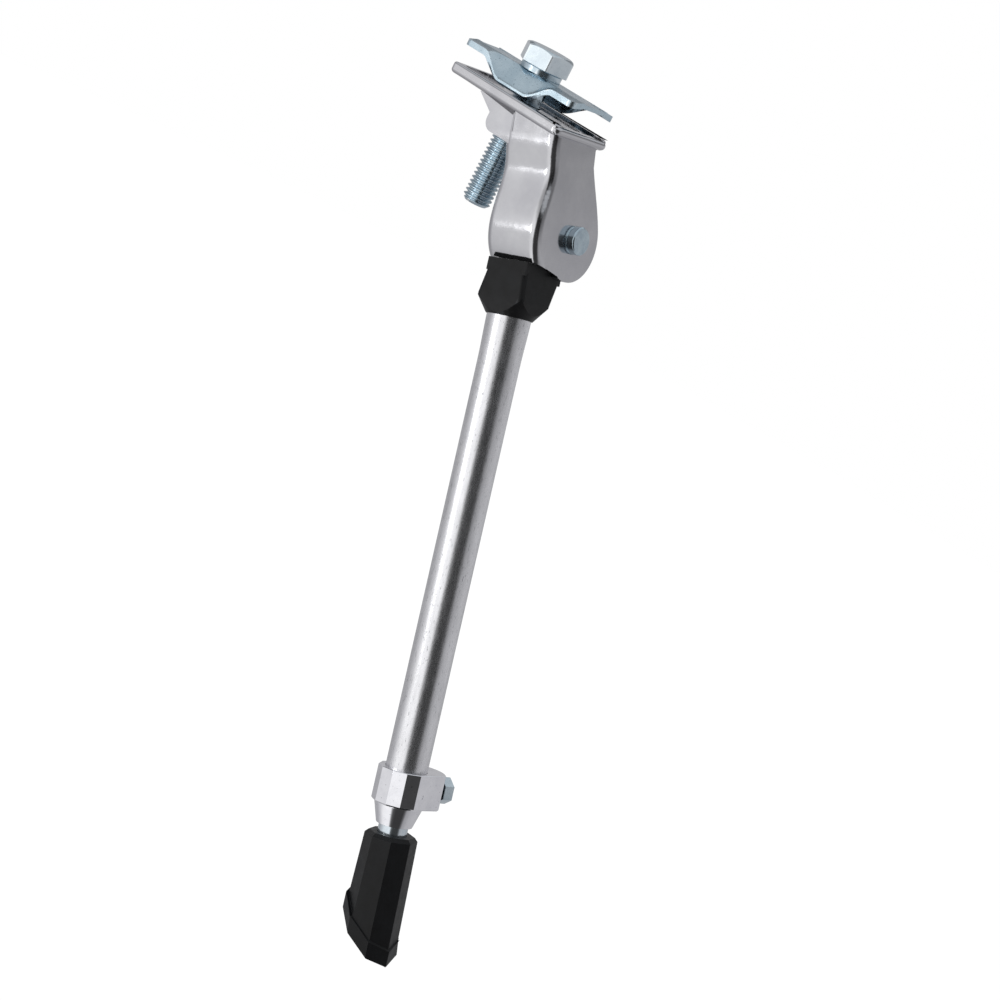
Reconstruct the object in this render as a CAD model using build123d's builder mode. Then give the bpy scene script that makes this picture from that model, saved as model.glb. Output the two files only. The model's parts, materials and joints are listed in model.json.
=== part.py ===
from build123d import *
import os
from math import cos, pi, radians, sin, tan

# Bicycle kickstand, in millimetres: a clamp for the frame's stays, a leg that folds and a foot that slides.
# The origin is on the clamp bolt's axis, level with the top of the bracket's rim. +X points away from the
# bicycle on the leg's side, +Y rearward and +Z up.

os.makedirs("parts", exist_ok=True)

# Sheet and clearances
sheet = 2.5
top_sheet = 2.0
running_gap = 0.05
slide_gap = 0.1
side_gap = 0.15

# Clamp bolt, washer and nut
bolt_diameter = 10.0
bolt_length = 49.4
bolt_flats = 16.0
bolt_head_height = 6.4
bolt_head_turn = 14.2
bolt_tip_chamfer = 1.0
bolt_hole_clearance = 0.5
washer_diameter = 14.5
washer_thickness = 2.0
washer_split = 0.8
nut_flats = 16.0
nut_height = 8.0

# Bracket plate
plate_length = 49.5
plate_width = 29.7
plate_shift_x = 1.25
plate_shift_y = 0.55
plate_corner = 1.6
rim_width = 2.6
rim_height = 1.2
rim_round = 0.9
under_round = 1.2
tray_corner = 2.0
tray_ridge_width = 2.2
tray_ridge_height = 0.4
tray_ridge_offset = 7.5
lip_reach = 1.0
lip_width = 4.0
lip_drop = 0.5
lip_thickness = 2.9
lip_corner = 2.6
lip_round = 1.4

# Bracket channel and shoulder
pivot_x = 25.7
pivot_y = 9.6
pivot_z = -35.9
bracket_tilt = 20.0
channel_width = 21.0
web_top_setback = 11.0
web_waist_setback = 9.3
web_belly_setback = 11.4
web_lip_setback = 7.9
web_top_level = 30.0
web_waist_level = 20.0
web_belly_level = 2.5
web_lip_level = -10.0
web_bend = 3.0
ear_radius = 14.0
ear_shoulder_y = 3.4
ear_shoulder_level = 24.5
ear_foot_angle = 70.0
ear_rear_angle = 20.0
ear_top_set_in = 2.5
left_ear_level = 24.5
shoulder_left = -3.2
shoulder_low = -14.0
shoulder_corner = 3.6
gusset_left = -11.6
gusset_recess = 2.4
gusset_low = -8.6
gusset_bend = 1.4

# Top clamp plate
top_length = 50.0
top_width = 25.1
top_shift_x = 0.6
top_shift_y = 0.4
top_crown = 0.8
top_flat_half = 6.0
top_corner = 2.2
wing_length = 9.0
wing_gap = 6.2
dip_length = 11.6
dip_depth = 6.6
dip_angle = 62.0
dip_pull = 3.2
dip_steps = 6

# Pivot pin
pin_diameter = 9.4
pin_reach = 3.3
pin_groove_depth = 0.45
pin_groove_width = 0.8
pin_head_diameter = 14.0
pin_head_height = 2.6
pin_end_chamfer = 0.4

# Leg
leg_lean = 3.0
tube_offset = 11.2
leg_draw = 3.0
tube_diameter = 14.2
tube_wall = 1.5
tube_flare = 0.35
flare_length = 14.0
flare_taper = 2.0
tube_length = 165.0

# Leg head
head_lobe = 8.5
head_front = 14.3
head_step = 11.4
head_shoulder_width = 15.7
head_body_width = 18.4
head_body_front = 7.6
head_body_front_low = 8.2
head_body_rear = 13.0
head_body_rear_low = 8.8
head_body_top = 14.7
head_body_low = 23.4
head_cone_end = 29.4
head_cone_slope = 36.5
head_cone_rim = 0.4
head_round = 1.6
head_overlap = 1.0
tube_socket = 1.5
slot_width = 6.0
slot_wall = 0.4
slot_low = 20.5

# Draw rod, spring, seats and nut
rod_diameter = 5.0
eye_diameter = 14.0
eye_width = 4.4
crank_level = 17.0
crank_radius = 6.0
draw_rod_end = 98.0
rod_bore_clearance = 0.7
seat_thickness = 1.5
seat_edge_clearance = 0.3
spring_wire = 1.8
spring_turns = 8
spring_length = 44.0
draw_nut_flats = 8.0
draw_nut_height = 4.6

# Collar and its screw
collar_sides = 12
collar_radius = 9.4
collar_height = 12.0
collar_overlap = 11.2
collar_chamfer = 0.5
neck_top = 8.2
neck_bottom = 6.15
neck_length = 7.0
neck_step = 0.3
boss_bearing = 66.0
boss_taper = 15.0
boss_half_width = 6.25
boss_reach = 13.8
screw_diameter = 5.0
screw_flats = 8.0
screw_head_height = 3.5

# Foot rod, its guide and pin
foot_rod_diameter = 10.0
foot_rod_length = 105.0
foot_rod_bury = 21.8
guide_length = 12.0
guide_wall = 1.9
guide_pin_diameter = 2.0
rod_end_chamfer = 0.6

# Foot
foot_gap = 3.1
foot_sides = 8
foot_turn = -6.0
foot_top_radius = 9.0
foot_low_radius = 9.9
foot_length = 33.8
foot_bevel = 1.2
sole_slope = 40.0
sole_band = 4.2
sole_lip = 0.65
sole_edge = 0.4

# Worked out from the sizes above
plate_under = -rim_height - sheet
plate_centre = Plane((plate_shift_x, plate_shift_y, 0))
top_wing_z = wing_gap + top_sheet
top_crown_z = top_wing_z + top_crown
washer_top_z = top_crown_z + washer_thickness
bolt_tip_z = washer_top_z - bolt_length
bolt_radius = bolt_diameter / 2
pin_radius = pin_diameter / 2
tube_radius = tube_diameter / 2
tube_bore = tube_radius - tube_wall
channel_half = channel_width / 2
channel_inner = channel_half - sheet

bracket_side = Plane(
    origin=(pivot_x, pivot_y, pivot_z),
    x_dir=(0, 1, 0),
    z_dir=(cos(radians(bracket_tilt)), 0, sin(radians(bracket_tilt))),
)
bracket_sheet_top = (-pivot_z + channel_half * sin(radians(bracket_tilt))) / cos(radians(bracket_tilt))
leg_side = Plane(bracket_side.location * Rotation(0, 0, -leg_lean))
tube_origin = leg_side.from_local_coords((-tube_offset, 0, 0))
down_leg = Plane(origin=tube_origin, x_dir=leg_side.z_dir, z_dir=-leg_side.y_dir)

head_end = head_cone_end + flare_length
upper_seat_end = head_end + seat_thickness
spring_end = upper_seat_end + spring_length
lower_seat_end = spring_end + seat_thickness
tube_start = head_cone_end - tube_socket
tube_end = tube_start + tube_length
collar_start = tube_end - collar_overlap
collar_end = collar_start + collar_height
neck_end = collar_end + neck_length
foot_start = neck_end + foot_gap
foot_rod_end = foot_start + foot_rod_bury
foot_rod_start = foot_rod_end - foot_rod_length
sole_along = foot_start + foot_length
foot_rod_radius = foot_rod_diameter / 2
neck_bore = foot_rod_radius + slide_gap


def across_leg(along):
    """The plane square to the leg on the tube's axis, at a distance below the pivot."""
    centre = leg_side.from_local_coords((-tube_offset, -along, 0))
    return Plane(origin=centre, x_dir=leg_side.z_dir, z_dir=leg_side.y_dir)


def axis_of(plane):
    """The z axis of a plane."""
    return Axis(plane.origin, plane.z_dir)


def turning(plane, *profile):
    """The face between a plane's z axis and a profile of points of radius and height."""
    upright = Plane(origin=plane.origin, x_dir=plane.x_dir, z_dir=-plane.y_dir)
    with BuildSketch(upright) as half:
        with BuildLine():
            Polyline(*profile, close=True)
        make_face()
    return half.sketch


def ring(plane, outer, inner, low, high):
    """The face that turns into a tube or washer about a plane's z axis."""
    return turning(plane, (inner, low), (outer, low), (outer, high), (inner, high))


def turned_corners(plane, flats, low, high, both=False):
    """The face whose turning takes the corners off a hexagon at its upper end or at both ends."""
    corner = flats / 2 / cos(pi / 6)
    land = flats / 2 * 0.95
    drop = (corner - land) * tan(pi / 6)
    foot = [(land, low), (corner, low + drop)] if both else [(corner, low)]
    return turning(plane, (0, low), *foot, (corner, high - drop), (land, high), (0, high))


# Clamp bolt: a hexagon head and a shank through both plates
with BuildPart() as clamp_bolt:
    with BuildSketch(Plane.XY.offset(washer_top_z)):
        RegularPolygon(bolt_flats / 2, 6, major_radius=False, rotation=bolt_head_turn)
    extrude(amount=bolt_head_height)
    corners = turned_corners(Plane.XY, bolt_flats, washer_top_z, washer_top_z + bolt_head_height)
    revolve(corners, axis=Axis.Z, mode=Mode.INTERSECT)
    with BuildSketch(Plane.XY.offset(bolt_tip_z)):
        Circle(bolt_radius)
    extrude(amount=bolt_length)
    chamfer(clamp_bolt.edges().group_by(Axis.Z)[0], bolt_tip_chamfer)

# Lock washer: a square-section ring, split on the slant
with BuildPart() as lock_washer:
    revolve(
        ring(Plane.XY, washer_diameter / 2, bolt_radius + running_gap, top_crown_z, washer_top_z),
        axis=Axis.Z,
    )
    with BuildSketch(Plane.XZ.offset(-washer_diameter)):
        with Locations((0, (top_crown_z + washer_top_z) / 2)):
            Rectangle(washer_split, washer_thickness * 2, rotation=-bracket_tilt)
    extrude(amount=washer_diameter, mode=Mode.SUBTRACT)

# Clamp nut: welded under the bracket's plate
with BuildPart() as clamp_nut:
    with BuildSketch(Plane.XY.offset(plate_under)):
        RegularPolygon(nut_flats / 2, 6, major_radius=False)
        Circle(bolt_radius + running_gap, mode=Mode.SUBTRACT)
    extrude(amount=-nut_height)
    corners = turned_corners(Plane.XY, nut_flats, plate_under - nut_height, plate_under, both=True)
    revolve(corners, axis=Axis.Z, mode=Mode.INTERSECT)


def clamp_section(distance):
    """A section of the top plate across its length: nearly flat on the wings and arched in the middle."""
    share = (top_length / 2 - wing_length - abs(distance)) / (top_length / 2 - wing_length - dip_length / 2)
    share = min(max(share, 0), 1)
    share = share * share * (3 - 2 * share)
    slope = radians(dip_angle * share)
    half = top_width / 2
    edge = top_wing_z - share * dip_depth
    inner = (half - top_sheet * sin(slope), edge - top_sheet * cos(slope))
    up_slope = (-dip_pull * cos(slope), dip_pull * sin(slope))
    with BuildSketch(Plane.YZ.offset(top_shift_x + distance)) as section:
        with Locations((top_shift_y, 0)):
            with BuildLine():
                for side in (-1, 1):
                    for foot, level in (((half, edge), top_crown_z), (inner, top_crown_z - top_sheet)):
                        Bezier(
                            (side * foot[0], foot[1]),
                            (side * (foot[0] + up_slope[0]), foot[1] + up_slope[1]),
                            (side * (top_flat_half + dip_pull / 2), level),
                            (side * top_flat_half, level),
                        )
                    Line((side * half, edge), (side * inner[0], inner[1]))
                for level in (top_crown_z, top_crown_z - top_sheet):
                    Line((-top_flat_half, level), (top_flat_half, level))
            make_face()
    return section.sketch


# Top clamp plate: one pressed sheet, dipped in its middle to sit between the stays, with rounded corners
dip_start = top_length / 2 - wing_length
dip_run = dip_start - dip_length / 2
with BuildPart() as top_plate:
    extrude(clamp_section(-dip_length / 2), amount=dip_length, dir=(1, 0, 0))
    for way in (-1, 1):
        stations = [way * (dip_start - dip_run * step / dip_steps) for step in range(dip_steps + 1)]
        loft([clamp_section(station) for station in stations])
        extrude(clamp_section(way * dip_start), amount=wing_length, dir=(way, 0, 0))
    with BuildSketch(Plane.XY):
        with Locations((top_shift_x, top_shift_y)):
            RectangleRounded(top_length, top_width, top_corner)
    extrude(amount=top_crown_z + top_sheet, mode=Mode.INTERSECT)
    with BuildSketch(Plane.XY):
        Circle(bolt_radius + bolt_hole_clearance)
    extrude(amount=top_crown_z, mode=Mode.SUBTRACT)

# Bracket channel: a front web that curves in and out, and an ear on each side that carries the pivot pin
web_front = [
    (pivot_y + web_top_setback, bracket_sheet_top),
    (pivot_y + web_top_setback, web_top_level),
    (pivot_y + web_waist_setback, web_waist_level),
    (pivot_y + web_belly_setback, web_belly_level),
    (pivot_y + web_lip_setback, web_lip_level),
]


def web_curve(inset):
    """The web's front line from top to lip, or a line parallel to it behind the front."""
    points = [(-reach + inset, level) for reach, level in web_front]
    return Spline(*points[1:], tangents=[(0, -1), (0.75, -1)]), Line(points[0], points[1])


with BuildPart() as channel:
    with BuildSketch(bracket_side) as ear_outline:
        with BuildLine():
            web_curve(0)
            lip = (-pivot_y - web_lip_setback, web_lip_level)
            foot_angle = radians(ear_foot_angle)
            rear_angle = radians(ear_rear_angle)
            ear_foot = (-ear_radius * cos(foot_angle), -ear_radius * sin(foot_angle))
            rear = (ear_radius * cos(rear_angle), ear_radius * sin(rear_angle))
            Line(lip, ear_foot)
            ThreePointArc(ear_foot, (0, -ear_radius), rear)
            rear_tangent = (-sin(rear_angle), cos(rear_angle))
            Spline(rear, (ear_shoulder_y, ear_shoulder_level), tangents=[rear_tangent, (-0.45, 1)])
            Line((ear_shoulder_y, ear_shoulder_level), (ear_shoulder_y - ear_top_set_in, bracket_sheet_top))
            Line((ear_shoulder_y - ear_top_set_in, bracket_sheet_top), (-web_front[0][0], bracket_sheet_top))
        make_face()
    extrude(amount=channel_half, both=True)
    front_bends = channel.edges().filter_by(
        lambda edge: abs(abs(bracket_side.to_local_coords(edge.center()).Z) - channel_half) < 0.01
        and bracket_side.to_local_coords(edge.center()).X < -pivot_y - web_waist_setback + 0.6
        and edge.geom_type != GeomType.CIRCLE
    )
    fillet(front_bends, web_bend)
    with BuildSketch(bracket_side) as inside:
        with BuildLine():
            web_curve(sheet)
            inner_lip = (-pivot_y - web_lip_setback + sheet, web_lip_level)
            inner_top = (-web_front[0][0] + sheet, bracket_sheet_top)
            below = (inner_lip[0] + sheet, inner_lip[1] - ear_radius)
            behind = ear_radius * 2
            Polyline(inner_lip, below, (behind, below[1]), (behind, bracket_sheet_top), inner_top)
        make_face()
    extrude(amount=channel_inner, both=True, mode=Mode.SUBTRACT)
    with BuildSketch(bracket_side.offset(-channel_inner)):
        with Locations((-web_front[0][0] + sheet, left_ear_level)):
            Rectangle(ear_radius * 3, ear_radius * 2, align=(Align.MIN, Align.MIN))
    extrude(amount=-sheet * 2, mode=Mode.SUBTRACT)
    split(bisect_by=Plane.XY.offset(plate_under + sheet / 2), keep=Keep.BOTTOM)

# Front shoulder: the web spreads to the left below the plate and its brace runs back to the plate's end
front = -web_top_setback
with BuildPart() as shoulder:
    with BuildSketch(bracket_side.offset(-channel_inner)):
        with BuildLine():
            web_curve(0)
            web_curve(sheet)
            for reach, level in (web_front[0], web_front[-1]):
                Line((-reach, level), (-reach + sheet, level))
        make_face()
    extrude(amount=channel_inner - pivot_x)
    with BuildSketch(Plane.XY.offset(plate_under + sheet / 2)):
        with BuildLine():
            Polyline(
                (shoulder_left + sheet, front),
                (shoulder_left - gusset_bend, front),
                (gusset_left - gusset_bend, front + gusset_recess),
                (gusset_left - gusset_bend, front + gusset_recess + sheet),
                (shoulder_left - gusset_bend, front + sheet),
                (shoulder_left + sheet, front + sheet),
                close=True,
            )
        make_face()
    extrude(amount=shoulder_low)
    with BuildSketch(Plane.XZ) as shoulder_outline:
        with BuildLine():
            Polyline(
                (gusset_left, plate_under + sheet / 2),
                (gusset_left, plate_under),
                (shoulder_left, gusset_low),
                (shoulder_left, shoulder_low),
                (pivot_x - channel_inner, shoulder_low),
                (pivot_x - channel_inner, plate_under + sheet / 2),
                close=True,
            )
        make_face()
        fillet(shoulder_outline.vertices().group_by(Axis.Y)[0].sort_by(Axis.X)[0], shoulder_corner)
    extrude(amount=plate_width, mode=Mode.INTERSECT)

# Rolled lip: the plate's right end, curled over the ear's top
with BuildPart() as rolled_lip:
    with BuildSketch(Plane.XY.offset(-lip_drop)) as lip_outline:
        with Locations((plate_shift_x + plate_length / 2 + lip_reach, plate_shift_y)):
            Rectangle(lip_width, plate_width, align=(Align.MAX, Align.CENTER))
        fillet(lip_outline.vertices().group_by(Axis.X)[-1], lip_corner)
    extrude(amount=-lip_thickness)
    lip_edges = rolled_lip.edges().filter_by(Plane.XY) - rolled_lip.edges().group_by(Axis.X)[0]
    fillet(lip_edges, lip_round)

# Bracket: a pressed plate with a raised rim and a rolled right end, in one piece with its channel
with BuildPart() as bracket:
    with BuildSketch(plate_centre):
        RectangleRounded(plate_length, plate_width, plate_corner)
    extrude(amount=plate_under)
    fillet(bracket.edges().group_by(Axis.Z)[-1], rim_round)
    fillet(bracket.edges().group_by(Axis.Z)[0], under_round)
    with BuildSketch(plate_centre):
        with Locations((plate_length / 2, 0)):
            Rectangle(rim_width, plate_width - 2 * rim_width, align=(Align.MAX, Align.CENTER))
    extrude(amount=-rim_height, mode=Mode.SUBTRACT)
    add(rolled_lip)
    with BuildSketch(plate_centre):
        RectangleRounded(plate_length - 2 * rim_width, plate_width - 2 * rim_width, tray_corner)
    extrude(amount=-rim_height, mode=Mode.SUBTRACT)
    with BuildSketch(plate_centre.offset(-rim_height)):
        with GridLocations(0, 2 * tray_ridge_offset, 1, 2):
            SlotOverall(plate_length - 4 * rim_width, tray_ridge_width)
    extrude(amount=tray_ridge_height)
    add(channel)
    add(shoulder)
    with BuildSketch(Plane.XY):
        Circle(bolt_radius + bolt_hole_clearance)
    extrude(amount=plate_under - nut_height, mode=Mode.SUBTRACT)
    with BuildSketch(bracket_side):
        Circle(pin_radius + running_gap)
    extrude(amount=channel_width, both=True, mode=Mode.SUBTRACT)

# Pivot pin: a rivet with a domed head on the left and a grooved end that stands out on the right
pin_base = bracket_side.offset(-channel_half)
pin_tip = channel_width + pin_reach
with BuildPart() as pivot_pin:
    pin_profile = turning(
        pin_base,
        (0, -pin_head_height),
        (pin_head_diameter / 4, -pin_head_height),
        (pin_head_diameter / 2, -pin_head_height / 3),
        (pin_head_diameter / 2, 0),
        (pin_radius, 0),
        (pin_radius, channel_width),
        (pin_radius - pin_groove_depth, channel_width),
        (pin_radius - pin_groove_depth, channel_width + pin_groove_width),
        (pin_radius, channel_width + pin_groove_width),
        (pin_radius, pin_tip - pin_end_chamfer),
        (pin_radius - pin_end_chamfer, pin_tip),
        (0, pin_tip),
    )
    revolve(pin_profile, axis=axis_of(pin_base))

# Body of the leg head: flared below the channel, with its lower corners turned to a cone
head_cone_spread = head_cone_end * tan(radians(head_cone_slope))
head_cone_tip = tube_radius + tube_flare + head_cone_rim
body_sections = []
for along, width, front_reach, rear_reach in (
    (head_body_top, head_shoulder_width, head_body_front, head_body_rear),
    (head_body_low, head_body_width, head_body_front_low, head_body_rear_low),
    (head_cone_end, head_body_width, head_body_front_low, head_body_rear_low),
):
    with BuildSketch(across_leg(along)) as body_section:
        with Locations((0, (rear_reach - front_reach) / 2)):
            RectangleRounded(width, front_reach + rear_reach, head_round)
    body_sections.append(body_section.sketch)
with BuildPart() as head_body:
    loft(body_sections, ruled=True)
    cone = turning(down_leg, (0, 0), (head_cone_tip + head_cone_spread, 0), (head_cone_tip, head_cone_end),
                   (0, head_cone_end))
    revolve(cone, axis=axis_of(down_leg), mode=Mode.INTERSECT)

# Leg head: a moulded fork in the channel, a flared body under it, a turned cone and a spigot in the tube
with BuildPart() as leg_head:
    with BuildSketch(leg_side) as head_side:
        with BuildLine():
            Polyline((head_lobe, leg_draw), (head_lobe, 0))
            lobe_middle = (head_lobe * cos(pi / 4), leg_draw + head_lobe * sin(pi / 4))
            ThreePointArc((head_lobe, leg_draw), lobe_middle, (0, leg_draw + head_lobe))
            Line((0, leg_draw + head_lobe), (-head_front + head_lobe, leg_draw + head_lobe))
            Line((-head_front + head_lobe, leg_draw + head_lobe), (-head_front, head_lobe / 2))
            Polyline(
                (-head_front, head_lobe / 2),
                (-head_front, -head_step),
                (-tube_offset - head_body_front, -head_step),
                (-tube_offset - head_body_front, -head_body_top - head_overlap),
                (-tube_offset + head_body_rear, -head_body_top - head_overlap),
                (-tube_offset + head_body_rear, -head_step),
                (head_lobe, 0),
            )
        make_face()
    extrude(amount=channel_inner - side_gap, both=True)
    add(head_body)
    spigot = turning(down_leg, (0, head_body_low), (tube_bore + tube_flare - running_gap, head_body_low),
                     (tube_bore + tube_flare - running_gap, head_end), (0, head_end))
    revolve(spigot, axis=axis_of(down_leg))
    socket = ring(down_leg, tube_radius + tube_flare + running_gap, tube_bore + tube_flare - running_gap,
                  tube_start - running_gap, head_cone_end)
    revolve(socket, axis=axis_of(down_leg), mode=Mode.SUBTRACT)
    rod_bore = rod_diameter / 2 + rod_bore_clearance
    with BuildSketch(across_leg(head_end)):
        Circle(rod_bore)
    extrude(amount=head_end - slot_low + rod_bore, mode=Mode.SUBTRACT)
    eye_room = eye_diameter / 2 + slot_wall * 2
    slot_end = head_lobe + slot_wall
    slot_front = -tube_offset - rod_diameter / 2 - slot_wall
    slot_rear = -tube_offset + rod_diameter / 2 + slot_wall
    with BuildSketch(leg_side):
        with BuildLine():
            Polyline(
                (slot_end, leg_draw + slot_end),
                (-eye_room, leg_draw + slot_end),
                (-eye_room, -eye_room / 4),
                (slot_front, -crank_level + crank_radius * 0.75),
                (slot_front, -slot_low),
                (slot_rear, -slot_low),
                (slot_rear, -crank_level - crank_radius / 4),
                (-eye_room / 4, -eye_room - slot_wall * 2),
                (slot_end, -eye_room - slot_wall * 2),
                close=True,
            )
        make_face()
    extrude(amount=slot_width / 2, both=True, mode=Mode.SUBTRACT)
    with BuildSketch(leg_side):
        with Locations((0, leg_draw / 2)):
            SlotCenterToCenter(leg_draw, pin_diameter + 2 * side_gap, rotation=90)
    extrude(amount=channel_width, both=True, mode=Mode.SUBTRACT)

# Draw rod: an eye on the pivot pin and a shank cranked forward to the middle of the tube
with BuildPart() as draw_rod:
    with BuildSketch(leg_side):
        Circle(eye_diameter / 2)
    extrude(amount=eye_width / 2, both=True)
    crank_way = Vector(-tube_offset, -crank_level).normalized()
    shank_start = crank_way * (pin_radius + eye_diameter / 2) / 2
    with BuildLine(leg_side) as shank_path:
        FilletPolyline(
            (shank_start.X, shank_start.Y),
            (-tube_offset, -crank_level),
            (-tube_offset, -draw_rod_end),
            radius=crank_radius,
        )
    with BuildSketch(Plane(origin=shank_path.line @ 0, z_dir=shank_path.line % 0)):
        Circle(rod_diameter / 2)
    sweep(path=shank_path.line)
    with BuildSketch(leg_side):
        Circle(pin_radius + running_gap)
    extrude(amount=channel_width, both=True, mode=Mode.SUBTRACT)

# Washers above and below the leg spring
seat_outer = tube_bore - seat_edge_clearance
seat_inner = rod_diameter / 2 + slide_gap
with BuildPart() as spring_seat_upper:
    revolve(ring(down_leg, seat_outer, seat_inner, head_end, upper_seat_end), axis=axis_of(down_leg))
with BuildPart() as spring_seat_lower:
    revolve(ring(down_leg, seat_outer, seat_inner, spring_end, lower_seat_end), axis=axis_of(down_leg))

# Leg spring: a round wire coil round the draw rod
spring_radius = seat_outer - spring_wire / 2
coil_height = spring_length - spring_wire - slide_gap * 2
with BuildPart() as leg_spring:
    coil_start = down_leg.offset(upper_seat_end + spring_wire / 2 + slide_gap)
    with BuildLine() as coil:
        Helix(
            pitch=coil_height / spring_turns,
            height=coil_height,
            radius=spring_radius,
            center=coil_start.origin,
            direction=coil_start.z_dir,
        )
    with BuildSketch(Plane(origin=coil.line @ 0, z_dir=coil.line % 0)):
        Circle(spring_wire / 2)
    sweep(path=coil.line, is_frenet=True)

# Draw nut: holds the lower washer on the draw rod
with BuildPart() as draw_nut:
    with BuildSketch(down_leg.offset(lower_seat_end)):
        RegularPolygon(draw_nut_flats / 2, 6, major_radius=False)
        Circle(rod_diameter / 2 + running_gap, mode=Mode.SUBTRACT)
    extrude(amount=draw_nut_height)
    draw_nut_end = lower_seat_end + draw_nut_height
    corners = turned_corners(down_leg, draw_nut_flats, lower_seat_end, draw_nut_end, both=True)
    revolve(corners, axis=axis_of(down_leg), mode=Mode.INTERSECT)

# Leg tube: swelled over the head's spigot, with a hole for the collar's screw
screw_along = collar_start + collar_height / 2
screw_plane = Plane(across_leg(screw_along).location * Rotation(0, 0, boss_bearing) * Rotation(0, 90, 0))
with BuildPart() as leg_tube:
    tube_wall_face = turning(
        down_leg,
        (tube_bore + tube_flare, tube_start),
        (tube_radius + tube_flare, tube_start),
        (tube_radius + tube_flare, head_end),
        (tube_radius, head_end + flare_taper),
        (tube_radius, tube_end),
        (tube_bore, tube_end),
        (tube_bore, head_end + flare_taper),
        (tube_bore + tube_flare, head_end),
    )
    revolve(tube_wall_face, axis=axis_of(down_leg))
    with BuildSketch(screw_plane):
        Circle(screw_diameter / 2 + running_gap)
    extrude(amount=boss_reach, mode=Mode.SUBTRACT)

# Collar: a faceted ring on the tube's end, a boss for its screw and a cone below
with BuildPart() as collar:
    facet_reach = collar_radius * cos(pi / collar_sides)
    taper = radians(boss_taper)
    boss_corner = (facet_reach - boss_half_width * cos(taper)) / sin(taper)
    with BuildSketch(across_leg(collar_end)) as collar_outline:
        RegularPolygon(collar_radius, collar_sides, rotation=foot_turn)
        with Locations(Location((0, 0), boss_bearing)):
            with BuildLine():
                near = (facet_reach * sin(taper), facet_reach * cos(taper))
                front_corner = (boss_corner, -boss_half_width)
                rear_corner = (boss_corner, boss_half_width)
                Line((near[0], -near[1]), front_corner)
                ThreePointArc(front_corner, (boss_reach, 0), rear_corner)
                Line(rear_corner, near)
                Line(near, (near[0], -near[1]))
            make_face()
    extrude(amount=collar_height)
    chamfer(collar.edges().group_by(Axis.Z)[0].filter_by(GeomType.LINE), collar_chamfer)
    neck = turning(down_leg, (0, collar_start), (neck_top, collar_start), (neck_top, collar_end + neck_step),
                   (neck_bottom, neck_end), (0, neck_end))
    revolve(neck, axis=axis_of(down_leg))
    bore = turning(down_leg, (0, 0), (tube_radius + running_gap, 0), (tube_radius + running_gap, tube_end),
                   (neck_bore, tube_end), (neck_bore, foot_rod_end), (0, foot_rod_end))
    revolve(bore, axis=axis_of(down_leg), mode=Mode.SUBTRACT)
    with BuildSketch(screw_plane):
        Circle(screw_diameter / 2 + running_gap)
    extrude(amount=boss_reach * 2, mode=Mode.SUBTRACT)

# Collar screw: presses on the foot rod
with BuildPart() as collar_screw:
    with BuildSketch(screw_plane.offset(foot_rod_radius + slide_gap)):
        Circle(screw_diameter / 2)
    extrude(amount=boss_reach - foot_rod_radius)
    with BuildSketch(screw_plane.offset(boss_reach + slide_gap)):
        RegularPolygon(screw_flats / 2, 6, major_radius=False)
    extrude(amount=screw_head_height)

# Foot rod: necked at its top for the guide, with a cross hole for the guide's pin
guide_end = foot_rod_start + guide_length
guide_outer = tube_bore - slide_gap
guide_inner = guide_outer - guide_wall
guide_pin_along = foot_rod_start + guide_length / 2
guide_pin_plane = Plane(
    origin=across_leg(guide_pin_along).origin,
    x_dir=leg_side.x_dir,
    z_dir=leg_side.z_dir,
)
with BuildPart() as foot_rod:
    rod_face = turning(
        down_leg,
        (0, foot_rod_start),
        (guide_inner - running_gap, foot_rod_start),
        (guide_inner - running_gap, guide_end),
        (foot_rod_radius, guide_end),
        (foot_rod_radius, foot_rod_end - rod_end_chamfer),
        (foot_rod_radius - rod_end_chamfer, foot_rod_end),
        (0, foot_rod_end),
    )
    revolve(rod_face, axis=axis_of(down_leg))
    with BuildSketch(guide_pin_plane):
        Circle(guide_pin_diameter / 2 + running_gap)
    extrude(amount=tube_radius, both=True, mode=Mode.SUBTRACT)

# Rod guide: a plastic sleeve that keeps the foot rod in the middle of the tube
with BuildPart() as rod_guide:
    revolve(
        ring(down_leg, guide_outer, guide_inner, foot_rod_start, guide_end - running_gap),
        axis=axis_of(down_leg),
    )
    with BuildSketch(guide_pin_plane):
        Circle(guide_pin_diameter / 2 + running_gap)
    extrude(amount=tube_radius, both=True, mode=Mode.SUBTRACT)

# Guide pin: holds the guide on the foot rod
with BuildPart() as guide_pin:
    with BuildSketch(guide_pin_plane):
        Circle(guide_pin_diameter / 2)
    extrude(amount=guide_outer - seat_edge_clearance, both=True)

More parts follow.
